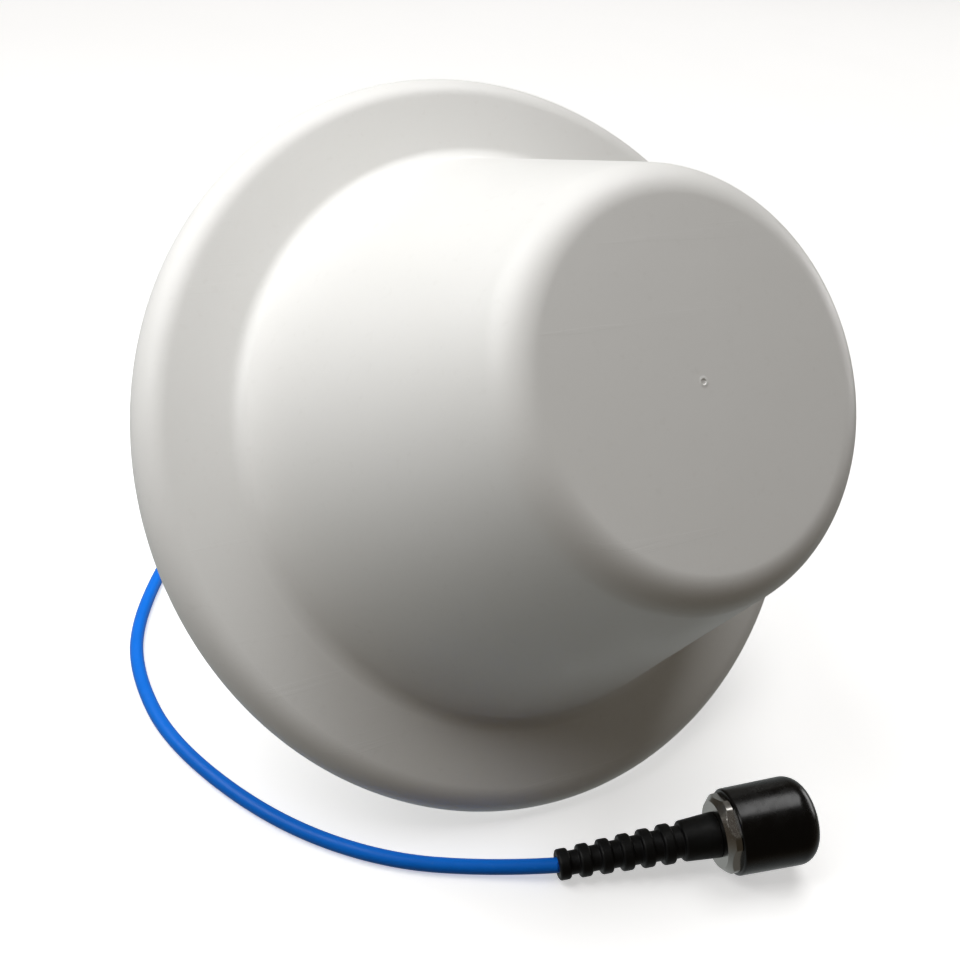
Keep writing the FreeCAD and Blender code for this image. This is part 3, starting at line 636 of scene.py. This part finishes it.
for k in range(4):
    sinks.append(rings(sink, 48))
    across = FLANGE_CIRCLE * MM * Vector((math.cos(k * math.pi / 2), math.sin(k * math.pi / 2), 0))
    sinks[-1].transform(Matrix.Translation(across))
studded = carve(rings(rounded(stud, 4), 144, thread=stud_thread), joined(sinks))
finish_piece("stud", studded, antenna_frame, "antenna", "stud_alloy", ["mounting_stud"], 30)

SUNK_SCREW = [(0, 1.55), (2.85, 1.55), (2.95, 1.65), (1.5, 3.1), (1.5, 9.5), (0, 9.5)]
PAN_SCREW = [(0, 2.3), (1.9, 2.32), (2.45, 2.55), (2.75, 3.0), (2.8, 3.4), (2.8, PLANE_BACK)]
PAN_SCREW += [(1.45, PLANE_BACK), (1.45, 14.5), (0, 16.0)]
POST_SCREW = [(0, 2.2), (1.9, 2.22), (2.4, 2.45), (2.7, 2.95), (2.75, 3.3), (2.75, PLANE_BACK)]
POST_SCREW += [(1.5, PLANE_BACK), (1.5, 14.0), (0, 14.0)]
flange_screws = ring_of_screws(4, FLANGE_CIRCLE, SUNK_SCREW, 3.4, 1.1)
finish_piece("flange_screws", flange_screws, antenna_frame, "antenna", "zinc_steel", ["stud_screws"], 30)
rim_screws = ring_of_screws(6, RIM_CIRCLE, PAN_SCREW, 3.2, 1.2)
finish_piece("rim_screws", rim_screws, antenna_frame, "antenna", "zinc_steel", ["radome_screws"], 30)
post_heads = ring_of_screws(3, POST_CIRCLE, POST_SCREW, 3.2, 1.2)
finish_piece("post_heads", post_heads, antenna_frame, "antenna", "zinc_steel", ["post_screws"], 30)

# ---------------------------------------------------------------- floor and light



def staged(name, mesh_maker, shader):
    """A piece of the studio that the camera sees but that throws no light on the antenna."""
    data = bpy.data.meshes.new(name)
    mesh_maker.to_mesh(data)
    mesh_maker.free()
    data.materials.append(shader.done())
    made = bpy.data.objects.new(name, data)
    bpy.context.scene.collection.objects.link(made)
    made.visible_diffuse = False
    made.visible_glossy = False
    return made


FLOOR_RADIUS, BACKDROP_RADIUS = 14, 13.9
floor_shader = Shader("floor_look", (0.93, 0.93, 0.93), 0.7)
floor_shader.rough(floor_shader.noise(8, 2), 0.65, 0.75)
floor_shader.glow(0.5)
bm = bmesh.new()
bmesh.ops.create_circle(bm, cap_ends=True, segments=96, radius=FLOOR_RADIUS)
floor = staged("floor", bm, floor_shader)
floor.location.z = -0.2 * MM

backdrop_shader = Shader("backdrop_look", (0.9, 0.9, 0.9), 0.9)
backdrop_shader.glow(0.9)
bm = bmesh.new()
bmesh.ops.create_uvsphere(bm, u_segments=48, v_segments=24, radius=BACKDROP_RADIUS)
backdrop = staged("backdrop", bm, backdrop_shader)
backdrop.visible_transmission = False
backdrop.visible_shadow = False

world = bpy.data.worlds.new("studio")
bpy.context.scene.world = world
world.use_nodes = True
sky = world.node_tree
direction = sky.nodes.new("ShaderNodeTexCoord")
split = sky.nodes.new("ShaderNodeSeparateXYZ")
tilt = sky.nodes.new("ShaderNodeVectorRotate")
tilt.rotation_type = "X_AXIS"
tilt.inputs["Angle"].default_value = math.radians(-30)


def fade(low, high, at_low, at_high):
    """A value that changes from the low back of the room to its high front."""
    made = sky.nodes.new("ShaderNodeMapRange")
    made.inputs["From Min"].default_value = low
    made.inputs["From Max"].default_value = high
    made.inputs["To Min"].default_value = at_low
    made.inputs["To Max"].default_value = at_high
    sky.links.new(split.outputs["Z"], made.inputs["Value"])
    return made.outputs["Result"]


sky.links.new(direction.outputs["Generated"], tilt.inputs["Vector"])
sky.links.new(tilt.outputs["Vector"], split.inputs[0])
sky.links.new(fade(-1.0, 0.1, 0.5, 0.06), sky.nodes["Background"].inputs["Strength"])
COOL_LIGHT, WARM_LIGHT = (0.95, 1, 0.99, 1), (1, 0.8, 0.56, 1)
tint = sky.nodes.new("ShaderNodeMix")
tint.data_type = "RGBA"
tint.inputs[6].default_value = COOL_LIGHT
tint.inputs[7].default_value = WARM_LIGHT
sky.links.new(fade(-0.35, 0.05, 0.0, 1.0), tint.inputs[0])
sky.links.new(tint.outputs[2], sky.nodes["Background"].inputs["Color"])


def softbox(name, place, target, width, height, power):
    """A rectangular light that faces the target and that the camera doesn't see."""
    data = bpy.data.lights.new(name, "AREA")
    data.shape = "RECTANGLE"
    data.size, data.size_y = width, height
    data.energy = power
    made = bpy.data.objects.new(name, data)
    bpy.context.scene.collection.objects.link(made)
    made.location = place
    made.visible_camera = False
    made.rotation_mode = "QUATERNION"
    made.rotation_quaternion = (Vector(target) - Vector(place)).to_track_quat("-Z", "Y")


CENTRE = Vector((0, 0, 0.09))
STUDIO_REACH = 3.0
softbox("key", (-0.3, 0.1, 0.5), CENTRE, 0.44, 0.44, 2.3)
softbox("overhead", CENTRE + Vector((0.218, 0.218, 0.951)) * STUDIO_REACH, CENTRE, 1.8, 1.8, 40)
softbox("side", CENTRE + Vector((0.985, 0, 0.17)) * STUDIO_REACH, CENTRE, 1.8, 1.0, 18)

bpy.context.scene.view_settings.view_transform = "Standard"

bpy.context.view_layer.update()
